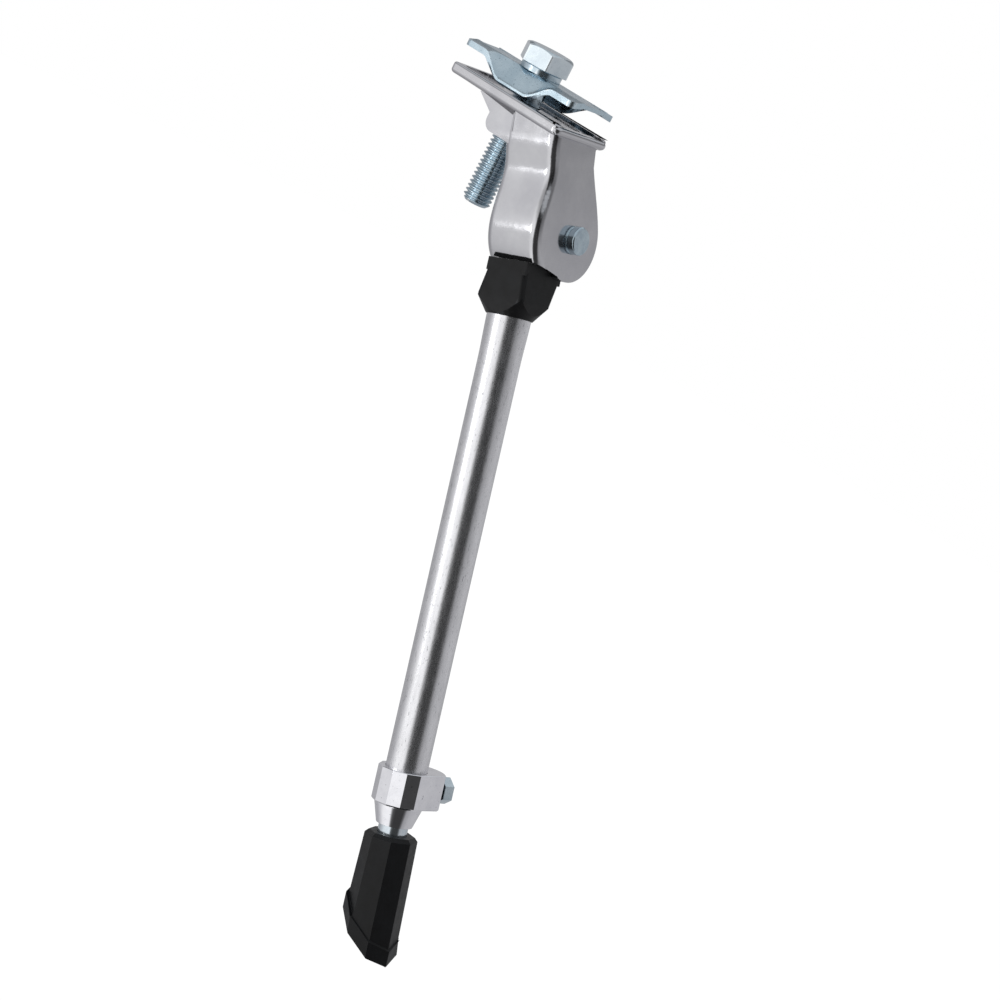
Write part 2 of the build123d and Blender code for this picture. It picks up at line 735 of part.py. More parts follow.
# Foot: eight-sided, wider towards a slanted sole with a welt round it
sole_plane = Plane(across_leg(sole_along).location * Rotation(0, 0, foot_turn) * Rotation(0, sole_slope, 0))
sole_reach = foot_low_radius * 2 * tan(radians(sole_slope))
low_growth = (foot_low_radius - foot_top_radius) / foot_length
deepest_radius = foot_top_radius + low_growth * (foot_length + sole_reach)
with BuildPart() as sole_welt:
    with BuildSketch(across_leg(sole_along + sole_reach)):
        RegularPolygon(foot_low_radius + sole_lip, foot_sides, rotation=foot_turn)
    extrude(amount=sole_reach * 2)
    split(bisect_by=sole_plane, keep=Keep.TOP)
    split(bisect_by=sole_plane.offset(sole_band), keep=Keep.BOTTOM)
    chamfer(sole_welt.edges().group_by(Axis.Z)[0], sole_edge)
with BuildPart() as foot:
    with BuildSketch(across_leg(foot_start)):
        RegularPolygon(foot_top_radius - foot_bevel, foot_sides, rotation=foot_turn)
    with BuildSketch(across_leg(foot_start + foot_bevel)):
        RegularPolygon(foot_top_radius, foot_sides, rotation=foot_turn)
    with BuildSketch(across_leg(sole_along + sole_reach)):
        RegularPolygon(deepest_radius, foot_sides, rotation=foot_turn)
    loft(ruled=True)
    split(bisect_by=sole_plane.offset(sole_edge), keep=Keep.TOP)
    add(sole_welt)
    with BuildSketch(across_leg(foot_start)):
        Circle(foot_rod_radius + running_gap)
    extrude(amount=-foot_rod_bury - running_gap, mode=Mode.SUBTRACT)

for piece, name in (
    (clamp_bolt, "clamp_bolt"),
    (lock_washer, "lock_washer"),
    (clamp_nut, "clamp_nut"),
    (top_plate, "top_plate"),
    (bracket, "bracket"),
    (pivot_pin, "pivot_pin"),
    (leg_head, "leg_head"),
    (draw_rod, "draw_rod"),
    (spring_seat_upper, "spring_seat_upper"),
    (leg_spring, "leg_spring"),
    (spring_seat_lower, "spring_seat_lower"),
    (draw_nut, "draw_nut"),
    (leg_tube, "leg_tube"),
    (collar, "collar"),
    (collar_screw, "collar_screw"),
    (foot_rod, "foot_rod"),
    (rod_guide, "rod_guide"),
    (guide_pin, "guide_pin"),
    (foot, "foot"),
):
    piece.part.label = name
    export_step(piece.part, f"parts/{name}.step")
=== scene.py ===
"""Bicycle kickstand: finishes, the bolt's thread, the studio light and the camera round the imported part."""

import json
import logging
import math
from dataclasses import dataclass, field
from enum import Enum
from typing import Any

import bmesh
import bpy
from mathutils import Matrix, Vector

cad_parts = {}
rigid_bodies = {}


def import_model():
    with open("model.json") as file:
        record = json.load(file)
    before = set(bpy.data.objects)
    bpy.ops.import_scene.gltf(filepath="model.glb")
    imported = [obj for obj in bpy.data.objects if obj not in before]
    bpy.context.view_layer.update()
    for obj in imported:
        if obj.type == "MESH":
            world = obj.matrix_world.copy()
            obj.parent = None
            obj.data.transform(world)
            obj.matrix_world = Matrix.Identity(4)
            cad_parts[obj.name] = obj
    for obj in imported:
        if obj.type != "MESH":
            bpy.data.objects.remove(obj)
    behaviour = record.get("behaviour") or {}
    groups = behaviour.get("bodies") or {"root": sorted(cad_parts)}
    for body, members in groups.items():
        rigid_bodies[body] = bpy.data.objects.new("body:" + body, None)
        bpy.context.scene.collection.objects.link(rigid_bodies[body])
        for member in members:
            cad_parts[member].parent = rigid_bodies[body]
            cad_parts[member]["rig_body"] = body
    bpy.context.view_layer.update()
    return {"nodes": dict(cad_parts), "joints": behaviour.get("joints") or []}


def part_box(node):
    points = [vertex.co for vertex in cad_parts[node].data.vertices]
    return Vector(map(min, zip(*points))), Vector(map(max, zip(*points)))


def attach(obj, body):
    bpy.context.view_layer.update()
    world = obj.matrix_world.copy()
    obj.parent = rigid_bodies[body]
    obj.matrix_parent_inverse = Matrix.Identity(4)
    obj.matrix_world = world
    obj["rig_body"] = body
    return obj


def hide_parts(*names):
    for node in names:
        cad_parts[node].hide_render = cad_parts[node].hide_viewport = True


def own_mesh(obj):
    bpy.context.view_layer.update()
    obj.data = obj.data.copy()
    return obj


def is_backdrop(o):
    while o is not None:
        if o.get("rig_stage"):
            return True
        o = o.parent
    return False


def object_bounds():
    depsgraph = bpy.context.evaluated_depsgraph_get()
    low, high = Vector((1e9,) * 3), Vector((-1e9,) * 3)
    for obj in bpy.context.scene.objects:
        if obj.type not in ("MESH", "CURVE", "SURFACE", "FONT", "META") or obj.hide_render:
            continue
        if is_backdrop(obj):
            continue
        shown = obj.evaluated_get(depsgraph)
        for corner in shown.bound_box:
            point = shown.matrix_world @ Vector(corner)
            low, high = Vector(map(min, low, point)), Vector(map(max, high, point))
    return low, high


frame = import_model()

log = logging.getLogger("kickstand")
WHITE = "#FFFFFF"
# A millimetre in metres
MM = 0.001
# The tube's points within this depth of its end, in metres, are its upper rim
RIM_DEPTH = 1e-5
# A face of more square metres than this gets a margin of so many metres, which keeps its middle evenly shaded
BROAD_FACE = 4e-5
FLAT_MARGIN = 3e-4
# Corners nearer to each other than this, in metres, are one corner
WELD = 2e-6
# Faces that turn by less than this, in degrees, are one flat face
COPLANAR = 0.05
# Turned pieces have an edge where their profile turns by more than this, in degrees
TURNED_CREASE = 25.0
DRILL_STEPS = 48
BEVEL_SEGMENTS = 2
# The broadest face at a corner gives it its shading at this weight, the most that there is
FLAT_WEIGHT = 100
# How rich each noise is in small detail
PATCH_NOISE = {"Detail": 4.0, "Roughness": 0.6}
SPECK_NOISE = {"Detail": 2.0, "Roughness": 0.7}
MARK_NOISE = {"Detail": 6.0, "Roughness": 0.65}
GRAIN_NOISE = {"Detail": 3.0, "Roughness": 0.6}
WAVE_NOISE = {"Detail": 1.0}
# The stretch of a noise's values, which gather round 0.5, over which shades, marks and specks set in
PATCH_SPAN = (0.35, 0.65)
MARK_SPAN = (0.3, 0.7)
SPECK_SPAN = (0.66, 0.74)
# How far a speck_share of 1 would lower the specks' stretch
SPECK_GAIN = 0.1
# Pointiness is 0.5 on a flat face and more on an edge
WORN_SPAN = (0.54, 0.62)
# The size of the handling marks against that of the patches of colour
MARK_SIZE = 0.4
# A colour mix's sockets: its share, its two colours and what comes out
MIX_SHARE, MIX_UNDER, MIX_OVER, MIX_OUT = 0, 6, 7, 2


class Edge(Enum):
    """How far the edges of a piece were rounded by its maker, in millimetres."""

    CRISP = 0.12
    TUMBLED = 0.25
    ROLLED = 0.45


def linear(code: str) -> tuple[float, float, float, float]:
    """Turns an sRGB hex colour into linear light, by the straight foot and the power of the sRGB curve.

    Args:
        code: The colour, such as "#A0A0A0".

    Returns:
        Red, green, blue and a full alpha.
    """
    parts = [int(code[i : i + 2], 16) / 255 for i in (1, 3, 5)]
    light = [c / 12.92 if c <= 0.04045 else ((c + 0.055) / 1.055) ** 2.4 for c in parts]
    return (light[0], light[1], light[2], 1.0)


def per_metre(size_mm: float) -> float:
    """The texture scale at which one cell of a pattern measures size_mm."""
    return 1 / (size_mm * MM)


def add_node(tree: bpy.types.NodeTree, kind: str, settings: dict[str, Any] | None = None,
             inputs: dict[str | int, Any] | None = None) -> bpy.types.Node:
    """Adds a node, sets it up and links it.

    Args:
        tree: The node tree of a material or the world.
        kind: Blender's name of the node type.
        settings: Attributes of the node and their values.
        inputs: Values of its sockets, or the output sockets that feed them.

    Returns:
        The new node.
    """
    node = tree.nodes.new(kind)
    for name, value in (settings or {}).items():
        setattr(node, name, value)
    for name, value in (inputs or {}).items():
        socket = node.inputs[name]
        if isinstance(value, bpy.types.NodeSocket):
            tree.links.new(value, socket)
        else:
            socket.default_value = value
    return node


@dataclass(frozen=True)
class Finish:
    """A surface as its maker left it.

    The colour drifts between two shades in patches, the roughness wanders with the handling marks, and the
    bump has a slow wave and a fine grain. The grain is drawn coarser than the real one, which is too fine to
    show. The pattern is stretched by its three factors once its z runs along the piece. A bigger speck_share
    gives more specks.
    """

    name: str
    light: str
    dark: str
    metallic: float
    roughness: float
    roughness_spread: float
    shade_mm: float
    grain_mm: float
    grain_depth_mm: float
    wave_mm: float = 20.0
    wave_depth_mm: float = 0.0
    stretch: tuple[float, float, float] = (1.0, 1.0, 1.0)
    along: tuple[float, float, float] = (0.0, 0.0, 1.0)
    speck: str | None = None
    speck_mm: float = 1.0
    speck_share: float = 0.0
    edge_wear: str | None = None
    specular: float = 0.5

    def material(self) -> bpy.types.Material:
        """Builds the material, or finds it when another piece has it already.

        Returns:
            The procedural material.
        """
        found = bpy.data.materials.get(self.name)
        if found:
            return found
        made = bpy.data.materials.new(self.name)
        made.use_nodes = True
        tree = made.node_tree
        tree.nodes.clear()
        place = self._place(tree)
        shader = add_node(tree, "ShaderNodeBsdfPrincipled", None, {
            "Base Color": self._colour(tree, place),
            "Metallic": self.metallic,
            "Roughness": self._roughness(tree, place),
            "Normal": self._bump(tree, place),
            "Specular IOR Level": self.specular,
        })
        add_node(tree, "ShaderNodeOutputMaterial", None, {"Surface": shader.outputs["BSDF"]})
        return made

    def _place(self, tree: bpy.types.NodeTree) -> bpy.types.NodeSocket:
        """The point on the object, turned so that z runs along the piece and stretched along its grain.

        Args:
            tree: The material's node tree.

        Returns:
            The point.
        """
        point = add_node(tree, "ShaderNodeTexCoord").outputs["Object"]
        turn = Vector(self.along).rotation_difference(Vector((0, 0, 1))).to_euler()
        turned = add_node(tree, "ShaderNodeMapping", {"vector_type": "POINT"}, {
            "Vector": point, "Rotation": turn})
        return add_node(tree, "ShaderNodeMapping", {"vector_type": "POINT"}, {
            "Vector": turned.outputs[0], "Scale": self.stretch}).outputs[0]

    def _colour(self, tree: bpy.types.NodeTree, place: bpy.types.NodeSocket) -> bpy.types.NodeSocket:
        """Two shades in slow patches, with specks and bright worn edges where the finish has them.

        Args:
            tree: The material's node tree.
            place: The point that the patterns are drawn at.

        Returns:
            The colour.
        """
        patches = add_node(tree, "ShaderNodeTexNoise", None, {
            "Vector": place, "Scale": per_metre(self.shade_mm), **PATCH_NOISE})
        lighter = add_node(tree, "ShaderNodeMapRange", None, {
            "Value": patches.outputs[0], "From Min": PATCH_SPAN[0], "From Max": PATCH_SPAN[1]})
        layers = [(lighter, self.light)]
        if self.speck:
            cells = add_node(tree, "ShaderNodeTexNoise", None, {
                "Vector": place, "Scale": per_metre(self.speck_mm), **SPECK_NOISE})
            first, last = (end - self.speck_share * SPECK_GAIN for end in SPECK_SPAN)
            specks = add_node(tree, "ShaderNodeMapRange", {"interpolation_type": "SMOOTHSTEP"}, {
                "Value": cells.outputs[0], "From Min": first, "From Max": last})
            layers.append((specks, self.speck))
        if self.edge_wear:
            geometry = add_node(tree, "ShaderNodeNewGeometry")
            worn = add_node(tree, "ShaderNodeMapRange", None, {
                "Value": geometry.outputs["Pointiness"], "From Min": WORN_SPAN[0], "From Max": WORN_SPAN[1]})
            layers.append((worn, self.edge_wear))
        mixed = linear(self.dark)
        for share, shade in layers:
            mixed = add_node(tree, "ShaderNodeMix", {"data_type": "RGBA"}, {
                MIX_SHARE: share.outputs[0], MIX_UNDER: mixed, MIX_OVER: linear(shade)}).outputs[MIX_OUT]
        return mixed

    def _roughness(self, tree: bpy.types.NodeTree, place: bpy.types.NodeSocket) -> bpy.types.NodeSocket:
        """Roughness that wanders with the handling marks.

        Args:
            tree: The material's node tree.
            place: The point that the marks are drawn at.

        Returns:
            The roughness.
        """
        marks = add_node(tree, "ShaderNodeTexNoise", None, {
            "Vector": place, "Scale": per_metre(self.shade_mm * MARK_SIZE), **MARK_NOISE})
        return add_node(tree, "ShaderNodeMapRange", None, {
            "Value": marks.outputs[0], "From Min": MARK_SPAN[0], "From Max": MARK_SPAN[1],
            "To Min": self.roughness - self.roughness_spread,
            "To Max": self.roughness + self.roughness_spread}).outputs[0]

    def _bump(self, tree: bpy.types.NodeTree, place: bpy.types.NodeSocket) -> bpy.types.NodeSocket:
        """The press's slow waves and the fine grain of the surface.

        Args:
            tree: The material's node tree.
            place: The point that the waves and the grain are drawn at.

        Returns:
            The normal.
        """
        grain = add_node(tree, "ShaderNodeTexNoise", None, {
            "Vector": place, "Scale": per_metre(self.grain_mm), **GRAIN_NOISE})
        fine = add_node(tree, "ShaderNodeBump", None, {
            "Height": grain.outputs[0], "Distance": self.grain_depth_mm * MM, "Strength": 1.0})
        if not self.wave_depth_mm:
            return fine.outputs[0]
        wave = add_node(tree, "ShaderNodeTexNoise", None, {
            "Vector": place, "Scale": per_metre(self.wave_mm), **WAVE_NOISE})
        return add_node(tree, "ShaderNodeBump", None, {
            "Height": wave.outputs[0], "Distance": self.wave_depth_mm * MM, "Strength": 1.0,
            "Normal": fine.outputs[0]}).outputs[0]


def joints_by_name() -> dict[str, Any]:
    """The part's joints by their names."""
    return {joint["name"]: joint for joint in frame["joints"]}


@dataclass(frozen=True)
class Ways:
    """Directions and places of the part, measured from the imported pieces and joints, in metres."""

    joints: dict[str, Any] = field(default_factory=joints_by_name)

    def down(self) -> Vector:
        """The way that the foot slides out."""
        return Vector(self.joints["foot_slide"]["axis"]).normalized()

    def foot_travel(self) -> float:
        """How far the foot sinks, in metres, as the rod slides out and the leg is drawn."""
        travel = sum(self.joints[name]["range_m"][1] for name in ("foot_slide", "leg_draw"))
        return -self.down().z * travel

    def along_leg(self, node: str) -> tuple[float, float]:
        """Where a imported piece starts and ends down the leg, in metres from the origin."""
        reaches = [vertex.co.dot(self.down()) for vertex in frame["nodes"][node].data.vertices]
        return min(reaches), max(reaches)

    def leg_axis(self, reach: float) -> Vector:
        """A point of the leg's axis, which runs through the middle of the tube's upper rim.

        Args:
            reach: The point's distance down the leg from the origin, in metres.

        Returns:
            The point, in metres.
        """
        first = self.along_leg("leg_tube")[0]
        points = [vertex.co for vertex in frame["nodes"]["leg_tube"].data.vertices]
        rim = [point for point in points if point.dot(self.down()) < first + RIM_DEPTH]
        low = Vector([min(point[i] for point in rim) for i in range(3)])
        high = Vector([max(point[i] for point in rim) for i in range(3)])
        return (low + high) / 2 + self.down() * (reach - first)

    def screw_out(self) -> Vector:
        """The way that the collar's screw points, square to the leg.

        Returns:
            The way, one metre long.
        """
        points = [vertex.co for vertex in frame["nodes"]["collar_screw"].data.vertices]
        away = sum(points, Vector()) / len(points) - self.leg_axis(0.0)
        return (away - self.down() * away.dot(self.down())).normalized()


WAYS = Ways()

# Bright zinc on steel: a thin bluish plate that keeps the sheet's slow waves, so its lights break up softly
ZINC_PLATE = Finish("bright_zinc_plated_steel", "#C6D6DF", "#B0C3CE", metallic=1.0, roughness=0.25,
                    roughness_spread=0.05, shade_mm=9.0, grain_mm=0.35, grain_depth_mm=0.004,
                    wave_mm=7.0, wave_depth_mm=0.05, speck="#7D8A93", speck_mm=0.7, speck_share=0.3,
                    edge_wear="#E6ECEF")
# Zinc on threads, hexagons and the rivet: the same plate on turned steel, brighter and with finer marks
ZINC_TURNED = Finish("bright_zinc_turned_steel", "#C6D5DD", "#AFC0CB", metallic=1.0, roughness=0.2,
                     roughness_spread=0.05, shade_mm=4.0, grain_mm=0.25, grain_depth_mm=0.003,
                     speck="#86939C", speck_mm=0.5, speck_share=0.2, edge_wear="#EEF3F6")
# Satin chrome on pressed steel: a plain grey that mirrors softly, with the press's waves under it
SATIN_CHROME = Finish("satin_chrome_pressed_steel", "#C9C9CC", "#BEBEC2", metallic=1.0, roughness=0.13,
                      roughness_spread=0.03, shade_mm=14.0, grain_mm=0.5, grain_depth_mm=0.003,
                      wave_mm=11.0, wave_depth_mm=0.05)
# Polished chrome on a cast collar: hard, clean mirrors with the faintest pits
POLISHED_CHROME = Finish("polished_chrome_casting", "#EBEBEF", "#DFDFE4", metallic=1.0, roughness=0.07,
                         roughness_spread=0.02, shade_mm=6.0, grain_mm=0.6, grain_depth_mm=0.003,
                         wave_mm=5.0, wave_depth_mm=0.02, speck="#7C7E84", speck_mm=0.8)
# Drawn aluminium: dull lengthwise streaks from the die, and small pits and specks
DRAWN_ALUMINIUM = Finish("drawn_bare_aluminium", "#E6E6E9", "#DADADD", metallic=1.0, roughness=0.26,
                         roughness_spread=0.05, shade_mm=3.0, grain_mm=0.5, grain_depth_mm=0.008,
                         wave_mm=3.0, wave_depth_mm=0.012, stretch=(1.0, 1.0, 0.22), along=tuple(WAYS.down()),
                         speck="#A2A2A6", speck_mm=0.4, speck_share=0.45)
# Glass-filled nylon: near black with a low, even sheen and a fine moulded texture
BLACK_NYLON = Finish("black_moulded_nylon", "#111214", "#0B0B0C", metallic=0.0, roughness=0.4,
                     roughness_spread=0.06, shade_mm=6.0, grain_mm=0.35, grain_depth_mm=0.01,
                     wave_mm=8.0, wave_depth_mm=0.02, specular=0.22, edge_wear="#26282B")
# Bright zinc on drawn rod: the cleanest metal of the stand
BRIGHT_ROD = Finish("bright_zinc_drawn_rod", "#DCE4EA", "#C3CED6", metallic=1.0, roughness=0.12,
                    roughness_spread=0.04, shade_mm=3.0, grain_mm=0.3, grain_depth_mm=0.002,
                    stretch=(1.0, 1.0, 0.3), along=tuple(WAYS.down()))
# Oiled spring steel: dark and a little glossy
OILED_STEEL = Finish("oiled_spring_steel", "#6A6B6E", "#4C4D50", metallic=1.0, roughness=0.34,
                     roughness_spread=0.06, shade_mm=4.0, grain_mm=0.3, grain_depth_mm=0.004,
                     edge_wear="#8E8F92")
# Acetal: a pale plastic that slides well
PALE_ACETAL = Finish("pale_moulded_acetal", "#D9D7D0", "#CBC9C1", metallic=0.0, roughness=0.42,
                     roughness_spread=0.05, shade_mm=4.0, grain_mm=0.3, grain_depth_mm=0.004)


def dress(node: str, finish: Finish) -> None:
    """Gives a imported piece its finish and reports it.

    Args:
        node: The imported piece's name.
        finish: Its finish.
    """
    thing = frame["nodes"][node]
    thing.data.materials.clear()
    thing.data.materials.append(finish.material())
    log.info("%s: %s", node, finish.name)


def link_piece(name: str, mesh: bpy.types.Mesh, finish: Finish, body: str,
               stands_for: str) -> bpy.types.Object:
    """Puts a finished mesh into the scene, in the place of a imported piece, and reports it.

    Args:
        name: The piece's name.
        mesh: Its mesh, in metres in the part's own frame.
        finish: Its finish.
        body: The body that it moves with.
        stands_for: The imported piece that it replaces.

    Returns:
        The new object.
    """
    mesh.materials.clear()
    mesh.materials.append(finish.material())
    thing = bpy.data.objects.new(name, mesh)
    bpy.context.scene.collection.objects.link(thing)
    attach(thing, body)
    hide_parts(stands_for)
    log.info("%s: %s on %s", name, finish.name, body)
    return thing


def finished_mesh(shape: bmesh.types.BMesh, name: str) -> bpy.types.Mesh:
    """Makes a mesh of a shape, which is then freed.

    Args:
        shape: The shape.
        name: The mesh's name.

    Returns:
        The mesh.
    """
    mesh = bpy.data.meshes.new(name)
    shape.to_mesh(mesh)
    shape.free()
    return mesh


def mark_edges(shape: bmesh.types.BMesh, crease: float) -> None:
    """Shades a shape smooth, apart from its edges.

    Args:
        shape: The shape.
        crease: The angle in degrees above which two faces meet in an edge.
    """
    for face in shape.faces:
        face.smooth = True
    for side in shape.edges:
        side.smooth = not (side.is_manifold and side.calc_face_angle(0) > math.radians(crease))


def break_edges(thing: bpy.types.Object, edge: Edge, crease: float) -> None:
    """Rounds a piece's edges a little and keeps its flat faces flat.

    Args:
        thing: The piece.
        edge: How its edges were left.
        crease: The angle in degrees above which two faces meet in an edge.
    """
    bevel = thing.modifiers.new("broken_edges", "BEVEL")
    bevel.limit_method = "ANGLE"
    bevel.angle_limit = math.radians(crease)
    bevel.width = edge.value * MM
    bevel.segments = BEVEL_SEGMENTS
    bevel.use_clamp_overlap = True
    flat = thing.modifiers.new("flat_faces_stay_flat", "WEIGHTED_NORMAL")
    flat.mode = "FACE_AREA"
    flat.weight = FLAT_WEIGHT
    flat.keep_sharp = True


def softened(node: str, finish: Finish, edge: Edge, crease: float = 32.0) -> bpy.types.Object:
    """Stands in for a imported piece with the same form, smooth in its bends and with its edges broken.

    Args:
        node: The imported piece.
        finish: Its finish.
        edge: How its edges were left.
        crease: The angle in degrees above which two faces meet in an edge.

    Returns:
        The new object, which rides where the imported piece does.
    """
    source = frame["nodes"][node]
    shape = bmesh.new()
    shape.from_mesh(source.data)
    bmesh.ops.remove_doubles(shape, verts=shape.verts, dist=WELD)
    bmesh.ops.dissolve_limit(shape, angle_limit=math.radians(COPLANAR), verts=shape.verts, edges=shape.edges,
                             use_dissolve_boundaries=False)
    broad = [face for face in shape.faces if face.calc_area() > BROAD_FACE]
    bmesh.ops.inset_region(shape, faces=broad, thickness=FLAT_MARGIN, use_boundary=True, use_even_offset=True)
    mark_edges(shape, crease)
    name = node + "_finished"
    thing = link_piece(name, finished_mesh(shape, name), finish, source["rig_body"], node)
    break_edges(thing, edge, crease)
    return thing


def skin(shape: bmesh.types.BMesh, rows: list[list[Vector]], looped: bool, smooth: bool = True) -> None:
    """Joins closed rows of points, each to the next, by four-sided faces.

    Args:
        shape: The shape that gets the faces.
        rows: Rows of as many points each.
        looped: Whether the last row joins the first. If it doesn't, a face closes each of the two.
        smooth: Whether the faces between the rows are shaded smooth.
    """
    corners = [[shape.verts.new(point) for point in row] for row in rows]
    following = corners[1:] + corners[:1] if looped else corners[1:]
    for lower, upper in zip(corners, following):
        for step in range(len(lower)):
            onward = (step + 1) % len(lower)
            shape.faces.new((lower[step], lower[onward], upper[onward], upper[step])).smooth = smooth
    if not looped:
        shape.faces.new(list(reversed(corners[0])))
        shape.faces.new(corners[-1])


def ringed(name: str, rows: list[list[Vector]], crease: float, merged: bool) -> bpy.types.Mesh:
    """Makes a mesh of closed rows of points, each joined to the next and the last to the first.

    Args:
        name: The mesh's name.
        rows: Rows of as many points each.
        crease: The angle in degrees above which two faces meet in an edge.
        merged: Whether the faces that lie in one plane become one face.

    Returns:
        The mesh, smooth apart from its edges.
    """
    shape = bmesh.new()
    skin(shape, rows, looped=True)
    bmesh.ops.recalc_face_normals(shape, faces=shape.faces)
    if merged:
        bmesh.ops.dissolve_limit(shape, angle_limit=math.radians(COPLANAR), verts=shape.verts,
                                 edges=shape.edges)
    mark_edges(shape, crease)
    return finished_mesh(shape, name)


def turned_piece(name: str, profile: list[tuple[float, float]], start: Vector, along: Vector,
                 around: int = 96) -> bpy.types.Mesh:
    """Turns a closed profile about an axis.

    Args:
        name: The mesh's name.
        profile: Points of radius and distance along the axis, in millimetres.
        start: A point on the axis, in metres.
        along: The axis.
        around: How many steps the turning has.

    Returns:
        The mesh, smooth apart from its edges.
    """
    turn = Vector((0, 0, 1)).rotation_difference(along).to_matrix()
    angles = [math.tau * step / around for step in range(around)]
    rows = []
    for radius, distance in profile:
        flat = [Vector((radius * math.cos(angle), radius * math.sin(angle), distance)) * MM
                for angle in angles]
        rows.append([start + turn @ local for local in flat])
    return ringed(name, rows, TURNED_CREASE, merged=False)


def drilled(mesh: bpy.types.Mesh, radius: float, start: Vector, along: Vector, length: float,
            crease: float) -> bpy.types.Mesh:
    """Drills a round hole into a mesh.

    Args:
        mesh: The mesh, in metres.
        radius: The hole's radius in millimetres.
        start: Where the drill starts, in metres.
        along: The way that it goes.
        length: How far it goes, in millimetres.
        crease: The angle in degrees above which two faces meet in an edge.

    Returns:
        The drilled mesh.
    """
    profile = [(0.0, 0.0), (radius, 0.0), (radius, length), (0.0, length)]
    cutter = turned_piece("drill", profile, start, along, DRILL_STEPS)
    things = [bpy.data.objects.new(name, part) for name, part in (("blank", mesh), ("drill", cutter))]
    for thing in things:
        bpy.context.scene.collection.objects.link(thing)
    cut = things[0].modifiers.new("hole", "BOOLEAN")
    cut.operation = "DIFFERENCE"
    cut.object = things[1]
    graph = bpy.context.evaluated_depsgraph_get()
    made = bpy.data.meshes.new_from_object(things[0].evaluated_get(graph))
    for thing in things:
        bpy.data.objects.remove(thing)
    shape = bmesh.new()
    shape.from_mesh(made)
    mark_edges(shape, crease)
    shape.to_mesh(made)
    shape.free()
    return made


@dataclass
class ThreadedBolt:
    """The clamp bolt: a hexagon head over a shank with a rolled metric thread.

    Sizes are in millimetres and head_turn in degrees. The washer face, its rim, the cone that turns the
    corners off and the crown inside it are told as shares of half the width across flats. The levels of the
    tip, the top, the head's underside and the thread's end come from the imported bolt.
    """

    pitch: float = 1.5
    radius: float = 5.0
    depth: float = 0.92
    crest: float = 0.2
    flats: float = 16.0
    head_height: float = 6.4
    head_turn: float = 14.2
    plain_length: float = 12.0
    around: int = 72
    steps_a_turn: int = 16
    tip_chamfer: float = 1.2
    tuck_in_head: float = 0.5
    washer_share: float = 0.93
    washer_rim_share: float = 0.97
    washer_step: float = 0.15
    cone_share: float = 0.95
    crown_share: float = 0.92
    corner_drop: float = 0.9
    tip: float = field(init=False)
    top: float = field(init=False)
    head_under: float = field(init=False)
    thread_end: float = field(init=False)

    def build(self) -> None:
        """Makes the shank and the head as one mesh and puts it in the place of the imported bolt."""
        low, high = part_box("clamp_bolt")
        self.tip = low.z / MM
        self.top = high.z / MM
        self.head_under = self.top - self.head_height
        self.thread_end = self.head_under - self.plain_length
        shape = bmesh.new()
        self._shank(shape)
        self._head(shape)
        bmesh.ops.recalc_face_normals(shape, faces=shape.faces)
        mesh = finished_mesh(shape, "threaded_bolt")
        link_piece("threaded_bolt", mesh, ZINC_TURNED, "clamp_screw", "clamp_bolt")

    def _row(self, reaches: list[float], levels: list[float]) -> list[Vector]:
        """Points at even turns round the bolt's axis.

        Args:
            reaches: Their distances from the axis.
            levels: Their heights.

        Returns:
            The points, in metres.
        """
        turns = [math.tau * step / len(reaches) for step in range(len(reaches))]
        return [Vector((reach * MM * math.cos(turn), reach * MM * math.sin(turn), level * MM))
                for turn, reach, level in zip(turns, reaches, levels)]

    def _reach(self, angle: float, level: float) -> float:
        """The shank's radius, on the thread's helix below the plain part.

        Args:
            angle: The bearing round the axis, in radians.
            level: The height.

        Returns:
            The radius there.
        """
        turn = (level / self.pitch - angle / math.tau) % 1.0
        slope = abs(turn - 0.5) * 2
        flank = min(max((slope - self.crest) / (1 - 2 * self.crest), 0.0), 1.0)
        fade = min(max((self.thread_end - level) / self.pitch, 0.0), 1.0)
        cut = self.radius - self.depth * (1 - flank) * fade
        return min(cut, self.radius - self.tip_chamfer + (level - self.tip))

    def _shank(self, shape: bmesh.types.BMesh) -> None:
        """The round shank with its thread, closed at the tip and inside the head.

        Args:
            shape: The shape that gets the shank.
        """
        levels = []
        level = self.tip
        while level < self.thread_end:
            levels.append(level)
            level += self.pitch / self.steps_a_turn
        levels.extend([self.thread_end, self.head_under + self.tuck_in_head])
        turns = [math.tau * step / self.around for step in range(self.around)]
        rows = [self._row([self._reach(turn, level) for turn in turns], [level] * self.around)
                for level in levels]
        skin(shape, rows, looped=False)

    def _hexagon(self, turn: float) -> float:
        """The hexagon's distance from the axis at a bearing in radians."""
        local = (turn - math.radians(self.head_turn)) % (math.pi / 3) - math.pi / 6
        return self.flats / 2 / math.cos(local)

    def _head(self, shape: bmesh.types.BMesh) -> None:
        """The hexagon, with its upper corners turned off and a low washer face beneath.

        Args:
            shape: The shape that gets the head.
        """
        around = self.around * 2
        half = self.flats / 2
        corner = half / math.cos(math.pi / 6)
        cone = half * self.cone_share
        hexagon = [self._hexagon(math.tau * step / around) for step in range(around)]
        falls = [self.corner_drop * max((reach - cone) / (corner - cone), 0.0) for reach in hexagon]
        rows = [
            self._row([half * self.washer_share] * around, [self.head_under] * around),
            self._row([half * self.washer_rim_share] * around, [self.head_under + self.washer_step] * around),
            self._row(hexagon, [self.head_under + self.washer_step * 2] * around),
            self._row(hexagon, [self.top - fall for fall in falls]),
            self._row([half * self.crown_share] * around, [self.top] * around),
        ]
        skin(shape, rows, looped=False, smooth=False)


